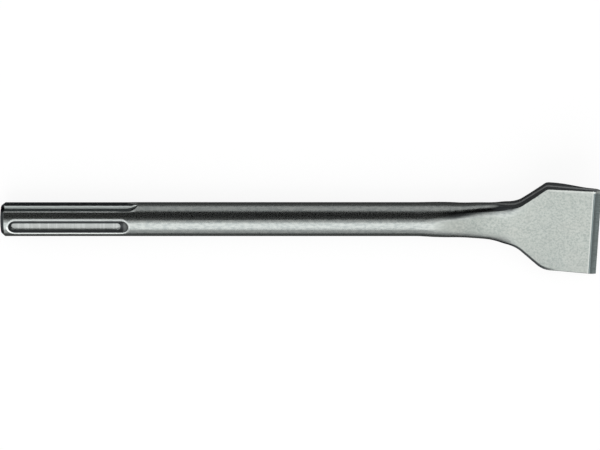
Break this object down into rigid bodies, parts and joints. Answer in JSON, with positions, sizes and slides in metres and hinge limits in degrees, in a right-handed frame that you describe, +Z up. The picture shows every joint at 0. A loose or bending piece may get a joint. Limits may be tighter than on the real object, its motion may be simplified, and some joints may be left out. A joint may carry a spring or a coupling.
{
  "type": "flat chisel",
  "caption": "Flat chisel for a rotary hammer: a grooved hammer shank, a round bar and a cranked, flared spade blade forged in one piece.",
  "frame": {"origin": "centre of the striking end's face, on the axis of the round bar", "axes": "+X along the bar to the cutting edge; +Z up, with the chisel lying on a table at its rest roll; +Y across the bar"},
  "size_m": [0.3146, 0.0483, 0.0342],
  "materials": {
    "forged_steel": "satin forged steel with a shot-blasted blade"
  },
  "bodies": {
    "root": {"flat_chisel": "forged_steel"}
  },
  "joints": []
}
